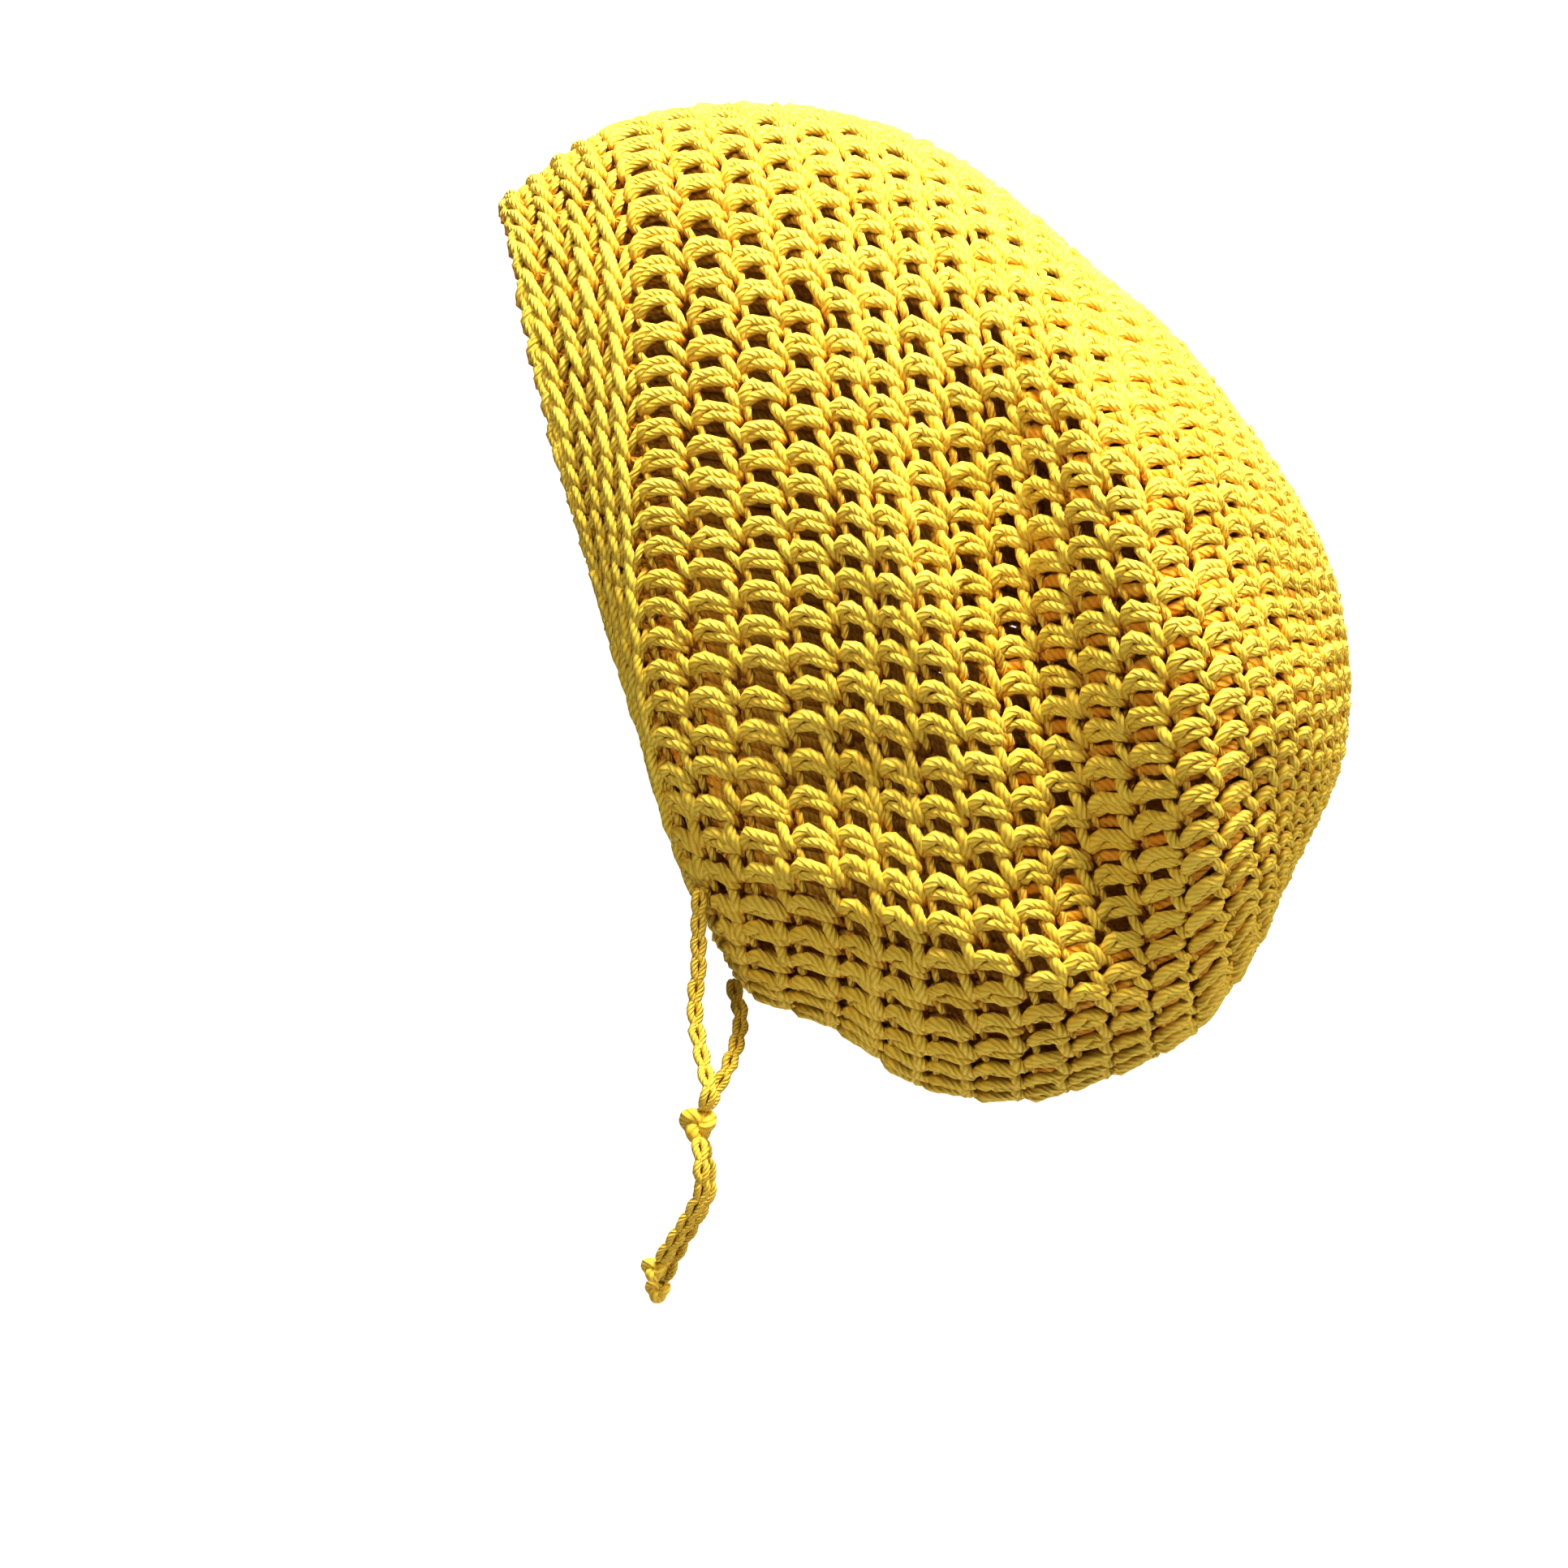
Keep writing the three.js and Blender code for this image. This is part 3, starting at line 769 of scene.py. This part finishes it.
def yarn_material(name, colour, ply_pitch=PLY_PITCH, plies=PLIES):
    """Plied yarn: ridges wind round each length, under fine fibres."""
    material = bpy.data.materials.new(name)
    material.use_nodes = True
    nodes, links = material.node_tree.nodes, material.node_tree.links
    nodes.clear()
    out = nodes.new("ShaderNodeOutputMaterial")
    shader = nodes.new("ShaderNodeBsdfPrincipled")
    for socket, value in YARN_SOCKETS.items():
        shader.inputs[socket].default_value = value
    links.new(shader.outputs["BSDF"], out.inputs["Surface"])

    def feed(socket, value):
        if isinstance(value, bpy.types.NodeSocket):
            links.new(value, socket)
        else:
            socket.default_value = value

    def math_node(kind, *values):
        node = nodes.new("ShaderNodeMath")
        node.operation = kind
        for socket, value in zip(node.inputs, values):
            feed(socket, value)
        return node.outputs[0]

    def mix_node(kind, factor, first, second):
        node = nodes.new("ShaderNodeMix")
        node.data_type = "RGBA"
        node.blend_type = kind
        for socket, value in (("Factor", factor), ("A", first), ("B", second)):
            feed(node.inputs[socket], value)
        return node.outputs["Result"]

    def attribute_node(label):
        node = nodes.new("ShaderNodeAttribute")
        node.attribute_name = label
        return node.outputs["Fac"]

    place = nodes.new("ShaderNodeUVMap")
    place.uv_map = "yarn_map"
    split = nodes.new("ShaderNodeSeparateXYZ")
    links.new(place.outputs["UV"], split.inputs[0])
    wind = math_node(
        "ADD",
        math_node("MULTIPLY", split.outputs["Y"], plies),
        math_node("MULTIPLY", split.outputs["X"], plies / ply_pitch),
    )
    wave = math_node("ABSOLUTE", math_node("SINE", math_node("MULTIPLY", wind, math.pi)))
    ridge = math_node("POWER", wave, RIDGE_POWER)

    tint = attribute_node("tint")
    fibre_place = nodes.new("ShaderNodeCombineXYZ")
    sources = (wind, split.outputs["X"], tint)
    for socket, source, scale in zip(fibre_place.inputs, sources, FIBRE_SCALES):
        links.new(math_node("MULTIPLY", source, scale), socket)
    fibres = nodes.new("ShaderNodeTexNoise")
    fibres.noise_dimensions = "3D"
    fibres.inputs["Scale"].default_value = 1.0
    fibres.inputs["Detail"].default_value = FIBRE_DETAIL
    links.new(fibre_place.outputs[0], fibres.inputs["Vector"])

    bump = nodes.new("ShaderNodeBump")
    bump.inputs["Strength"].default_value = 1.0
    bump.inputs["Distance"].default_value = BUMP_DISTANCE
    height = math_node(
        "ADD",
        math_node("MULTIPLY", ridge, RIDGE_HEIGHT),
        math_node("MULTIPLY", fibres.outputs["Fac"], FIBRE_HEIGHT),
    )
    links.new(height, bump.inputs["Height"])
    links.new(bump.outputs["Normal"], shader.inputs["Normal"])

    patches = nodes.new("ShaderNodeTexNoise")
    patches.inputs["Scale"].default_value = PATCH_SCALE
    patches.inputs["Detail"].default_value = PATCH_DETAIL
    body = nodes.new("ShaderNodeTexCoord")
    links.new(body.outputs["Object"], patches.inputs["Vector"])
    shade = math_node(
        "ADD",
        math_node("MULTIPLY", tint, LENGTH_SHARE),
        math_node("MULTIPLY", patches.outputs["Fac"], PATCH_SHARE),
    )
    # Painted shade: the valleys between the plies are darkened towards orange
    painted_ply_shade = math_node("MULTIPLY", math_node("SUBTRACT", 1.0, ridge), PAINTED_PLY_SHADE_SHARE)
    # Painted shade: yarn low in the fabric is darkened towards orange brown
    depth = math_node("SUBTRACT", 1.0, attribute_node("lift"))
    base = mix_node("MIX", shade, multiplied(colour, DULL), multiplied(colour, BRIGHT))
    base = mix_node("MULTIPLY", painted_ply_shade, base, PAINTED_PLY_SHADE_COLOUR)
    base = mix_node("MULTIPLY", depth, base, PAINTED_CREVICE_SHADE_COLOUR)
    links.new(base, shader.inputs["Base Color"])
    return material


def stitch_lengths(work, shape, yarn, template, runs, turns, run_pitch, turn_pitch, dice):
    """Adds one stitch's lengths of yarn at each given cell of the fabric."""
    amount = len(runs)
    side_a = shape.outer(runs + run_pitch / 2, turns - turn_pitch * 0.5)
    side_b = shape.outer(runs + run_pitch / 2, turns + turn_pitch * 0.5)
    pitch = np.linalg.norm(side_a - side_b, axis=-1)
    swell = np.clip((pitch / EASY_PITCH) ** SWELL_POWER, *SWELL_LIMITS)
    sway = dice.normal(0, 1, (amount, 2)) * SWAY
    for table, sides in template:
        rows = np.array(table)
        loose = dice.normal(0, 1, (amount, len(rows), 3)) * LOOSE
        across = rows[None, :, 0] + loose[:, :, 0] + sway[:, :1]
        down = rows[None, :, 1] + loose[:, :, 1] + sway[:, 1:]
        height = (rows[None, :, 2] * swell[:, None] + loose[:, :, 2]) * MM
        run = runs[:, None] + across * run_pitch
        turn = turns[:, None] - down * turn_pitch
        run = np.minimum(run, CENTRE_RUN - CROWN_STOP)
        paths, ups = shape.place(run, turn, height)
        fat = 1 + dice.normal(0, FATNESS, (amount, 1))
        radii = rows[None, :, 3] * swell[:, None] * fat * yarn / 2
        # Painted shade: yarn low in the fabric takes the crevices' darker colour
        lifts = smooth_step(PAINTED_SHADE_LOW, PAINTED_SHADE_HIGH, height)
        lifts = np.maximum(lifts, INSIDE_SHADE_EASE * smooth_step(*INSIDE_SHADE_HEIGHTS, -height))
        work.add(paths, ups, radii, sides, dice.random(amount), lifts=lifts)


class TAM_OT_camera(bpy.types.Operator):
    """Make the camera that looks at the wearer's left side"""

    bl_idname = "tam.camera"
    bl_label = "Camera"

    def execute(self, context):
        data = bpy.data.cameras.new("view")
        data.sensor_width = CAMERA_SENSOR
        data.angle = math.radians(CAMERA_ANGLE)
        camera = bpy.data.objects.new("view", data)
        camera.location = CAMERA_PLACE
        camera.rotation_euler = (math.pi / 2, 0, 0)
        context.scene.collection.objects.link(camera)
        context.scene.camera = camera
        return {"FINISHED"}


def smooth_route(places, count):
    """Even places on a smooth curve through a cord's route, and its length."""
    fine = spline_rows(places, SEARCH_POINTS * len(places))
    steps = np.linalg.norm(np.diff(fine, axis=0), axis=1)
    gone = np.concatenate(([0], np.cumsum(steps)))
    even = np.linspace(0, gone[-1], count)
    return read_rows(even, gone, fine), gone[-1]


def read_rows(at, known, rows):
    """Places read off the straight lines between rows of three numbers."""
    return np.stack([np.interp(at, known, rows[:, k]) for k in range(3)], axis=-1)


def make_chain(name, node, route, sizes, material, dice):
    """A length of chain-stitch cord along its route."""
    path, length = smooth_route(route, ROUTE_POINTS)
    links = max(LINKS_LEAST, round(length / sizes.link_length))
    fine, _ = smooth_route(route, CHAIN_POINTS)
    tangent = np.gradient(fine, axis=0)
    tangent /= np.linalg.norm(tangent, axis=1, keepdims=True)
    up = np.array(LINK_FACE)
    up = up - tangent * (tangent @ up)[:, None]
    up /= np.linalg.norm(up, axis=1, keepdims=True)
    side = np.cross(tangent, up)
    work = YarnWork()
    last = len(fine) - 1
    known = np.arange(last + 1)
    for table, mirror in ((LINK_ARM, 1), (LINK_ARM, -1), (LINK_BACK, 1)):
        rows = spline_rows(table, LINK_POINTS)
        loose = dice.normal(0, LINK_LOOSE, (links, len(rows), 2)) * MM
        along = (np.arange(links)[:, None] + rows[None, :, 0]) / links
        at = np.clip(along * last, 0, last)
        places, ups, sides = (read_rows(at, known, track) for track in (fine, up, side))
        aside = mirror * rows[None, :, 1] * MM + loose[:, :, 0]
        above = rows[None, :, 2] * MM + loose[:, :, 1]
        places = places + sides * aside[..., None]
        places = places + ups * above[..., None]
        places = places + (np.arange(len(rows)) * LINK_STEP)[None, :, None]
        radii = np.broadcast_to(rows[None, :, 3] * sizes.cord_yarn / 2, at.shape)
        work.add(places, ups, radii, LINK_SIDES, dice.random(links))
    piece = work.finish(name, material, node)
    return piece, path, length


def make_knot(name, node, place, size, material, dice):
    """An overhand knot pulled tight, as one closed winding of yarn."""
    radius, yarn = size
    t = np.linspace(0, 2 * math.pi, KNOT_POINTS)
    curl = np.stack(
        (
            np.sin(t) + 2 * np.sin(2 * t),
            -np.sin(3 * t) * CURL_DEPTH,
            np.cos(t) - 2 * np.cos(2 * t),
        ),
        axis=-1,
    )
    reach = radius - yarn / 2
    path = curl / CURL_REACH * reach + np.array(place)
    out = path - np.array(place)
    work = YarnWork()
    radii = np.full((1, len(t)), yarn / 2)
    work.add(path[None], out[None], radii, KNOT_SIDES, dice.random(1))
    return work.finish(name, material, node)


class TAM_OT_drawstring(bpy.types.Operator):
    """Make the drawstring: two strands, their knot, two tails and end knots"""

    bl_idname = "tam.drawstring"
    bl_label = "Drawstring"

    def execute(self, context):
        sizes, colours = context.scene.tam_sizes, context.scene.tam_colours
        dice = np.random.default_rng(CORD_SEED)
        material = yarn_material("cord yarn", colours.cord_yarn, CORD_PLY_PITCH, CORD_PLIES)
        knot = make_knot(
            "tied_knot_yarn", "tied_knot", KNOT_PLACE, TIED_KNOT, material, dice
        )
        ends = {}
        for name in ("front_end_knot", "back_end_knot"):
            low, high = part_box(name)
            place = [(a + b) / 2 for a, b in zip(low, high)]
            ends[name] = make_knot(f"{name}_yarn", name, place, END_KNOT, material, dice)
        for node, route, riders in (
            ("front_strand", FRONT_STRAND, [knot]),
            ("back_strand", BACK_STRAND, [knot]),
            ("front_tail", FRONT_TAIL, [ends["front_end_knot"]]),
            ("back_tail", BACK_TAIL, [ends["back_end_knot"]]),
        ):
            piece, path, length = make_chain(
                f"{node}_chain", node, route, sizes, material, dice
            )
        return {"FINISHED"}


def on_right(turns):
    """Says which turns lie on the wearer's right."""
    return turns % 1.0 < 0.5


class TAM_OT_bag(bpy.types.Operator):
    """Make the bag of open crochet, in groups of rounds"""

    bl_idname = "tam.bag"
    bl_label = "Crocheted bag"

    # First round of each piece, and the round before which it ends
    GROUPS = ((0, 5), (5, 10), (10, 15), (15, 19), (19, 24))

    def execute(self, context):
        sizes, colours = context.scene.tam_sizes, context.scene.tam_colours
        shape = FabricShape(sizes)
        dice = np.random.default_rng(BAG_SEED)
        material = yarn_material("bag yarn", colours.bag_yarn)
        pitch = CENTRE_RUN / sizes.rounds
        full = sizes.rounds - sizes.crown_rounds
        for number, (start, end) in enumerate(self.GROUPS, 1):
            work = YarnWork()
            for row in range(start, end):
                count = sizes.stitches
                if row > full:
                    count = sizes.stitches * (sizes.rounds - row) // sizes.crown_rounds
                turns = -(np.arange(count) + ROUND_SHIFT * row) / count
                runs = np.full(count, row * pitch)
                cell = (pitch, 1 / count, dice)
                stitch_lengths(work, shape, sizes.yarn, OPEN_STITCH, runs, turns, *cell)
                slack = dice.random(count) < (row - OPEN_ROUNDS + 1) / CLOSING_ROUNDS
                for bars, cells in ((FILLING, slack), (BACKING, on_right(turns))):
                    stitch_lengths(
                        work, shape, sizes.yarn, bars, runs[cells], turns[cells], *cell
                    )
            work.finish(f"crochet_rounds_{number}", material, "crocheted_bag")
        return {"FINISHED"}


class TAM_OT_band(bpy.types.Operator):
    """Make the ribbed band and the loops of its free edge"""

    bl_idname = "tam.band"
    bl_label = "Ribbed band"

    def execute(self, context):
        sizes, colours = context.scene.tam_sizes, context.scene.tam_colours
        shape = FabricShape(sizes)
        dice = np.random.default_rng(BAND_SEED)
        material = yarn_material("band yarn", colours.band_yarn)
        count = sizes.stitches
        pitch = (SEAM_RUN - EDGE_RUN) / sizes.ribs
        cell = (pitch, 1 / count, dice)
        work = YarnWork()
        for rib in range(sizes.ribs):
            turns = -(np.arange(count) + RIB_SHIFT * rib) / count
            runs = np.full(count, EDGE_RUN + rib * pitch)
            stitch_lengths(work, shape, sizes.yarn, RIB_STITCH, runs, turns, *cell)
            right = on_right(turns)
            stitch_lengths(
                work, shape, sizes.yarn, BACKING, runs[right], turns[right], *cell
            )
        turns = -np.arange(count) / count
        height = shape.outer(np.full(count, EDGE_RUN), turns)[:, 2]
        lead = smooth_step(*TEMPLE_LOW, height) * (1 - smooth_step(*TEMPLE_HIGH, height))
        runs = EDGE_RUN - RIM_LEAD * pitch * lead
        stitch_lengths(work, shape, sizes.yarn, RIM_STITCH, runs, turns, *cell)
        turns = turns[lead > INNER_LEAD]
        runs = np.full(len(turns), EDGE_RUN)
        stitch_lengths(work, shape, sizes.yarn, RIM_INNER, runs, turns, *cell)
        work.finish("band_ribs", material, "ribbed_band")
        return {"FINISHED"}


def area_light(name, place, aim, size, power, colour):
    """A round studio light that looks at a place."""
    data = bpy.data.lights.new(name, "AREA")
    data.shape = "DISK"
    data.size = size
    data.energy = power
    data.color = colour
    light = bpy.data.objects.new(name, data)
    light.location = place
    toward = Vector(aim) - Vector(place)
    light.rotation_euler = toward.to_track_quat("-Z", "Y").to_euler()
    bpy.context.scene.collection.objects.link(light)


class TAM_OT_stage(bpy.types.Operator):
    """Make the floor, the pale surroundings and the studio lights"""

    bl_idname = "tam.stage"
    bl_label = "Stage"

    def execute(self, context):
        colours = context.scene.tam_colours
        floor_material = bpy.data.materials.new("floor")
        floor_material.use_nodes = True
        shader = floor_material.node_tree.nodes["Principled BSDF"]
        shader.inputs["Base Color"].default_value = (*colours.floor, 1)
        shader.inputs["Roughness"].default_value = FLOOR_ROUGHNESS
        bpy.ops.mesh.primitive_circle_add(
            vertices=96, radius=FLOOR_RADIUS, fill_type="NGON", location=FLOOR_PLACE
        )
        floor = context.object
        floor.name = "floor"
        floor.data.materials.append(floor_material)

        glow = bpy.data.materials.new("surroundings")
        glow.use_nodes = True
        tree = glow.node_tree
        tree.nodes.clear()
        out = tree.nodes.new("ShaderNodeOutputMaterial")
        emission = tree.nodes.new("ShaderNodeEmission")
        emission.inputs["Color"].default_value = ROOM_COLOUR
        emission.inputs["Strength"].default_value = ROOM_STRENGTH
        tree.links.new(emission.outputs[0], out.inputs["Surface"])
        bpy.ops.mesh.primitive_ico_sphere_add(
            subdivisions=4, radius=ROOM_RADIUS, location=(0, 0, 0)
        )
        room = context.object
        room.name = "surroundings"
        room.data.materials.append(glow)
        for kind in ("diffuse", "glossy", "transmission", "volume_scatter", "shadow"):
            setattr(room, f"visible_{kind}", False)

        world = bpy.data.worlds.new("room light")
        world.use_nodes = True
        sky = world.node_tree.nodes["Background"]
        sky.inputs["Color"].default_value = SKY_COLOUR
        sky.inputs["Strength"].default_value = SKY_STRENGTH
        context.scene.world = world

        for light in LIGHTS:
            area_light(*light)
        context.scene.view_settings.view_transform = "Standard"
        context.scene.view_settings.gamma = VIEW_GAMMA
        return {"FINISHED"}


class TAM_PT_panel(bpy.types.Panel):
    """Lists the tam's sizes, colours and operators"""

    bl_label = "Rasta tam"
    bl_space_type = "VIEW_3D"
    bl_region_type = "UI"
    bl_category = "Tam"

    def draw(self, context):
        for group in (context.scene.tam_sizes, context.scene.tam_colours):
            for name in group.__annotations__:
                self.layout.prop(group, name)
        for operator in OPERATORS:
            self.layout.operator(operator.bl_idname)


OPERATORS = (TAM_OT_camera, TAM_OT_drawstring, TAM_OT_band, TAM_OT_bag, TAM_OT_stage)
CLASSES = (TamSizes, TamColours, *OPERATORS, TAM_PT_panel)


def register():
    """Adds the tam's sizes, colours, operators and panel."""
    for part in CLASSES:
        bpy.utils.register_class(part)
    bpy.types.Scene.tam_sizes = bpy.props.PointerProperty(type=TamSizes)
    bpy.types.Scene.tam_colours = bpy.props.PointerProperty(type=TamColours)


def unregister():
    """Takes them away again."""
    del bpy.types.Scene.tam_colours
    del bpy.types.Scene.tam_sizes
    for part in reversed(CLASSES):
        bpy.utils.unregister_class(part)


def main():
    """Makes the whole scene."""
    register()
    bpy.ops.tam.camera()
    bpy.ops.tam.drawstring()
    bpy.ops.tam.band()
    bpy.ops.tam.bag()
    bpy.ops.tam.stage()


if __name__ == "__main__":
    main()
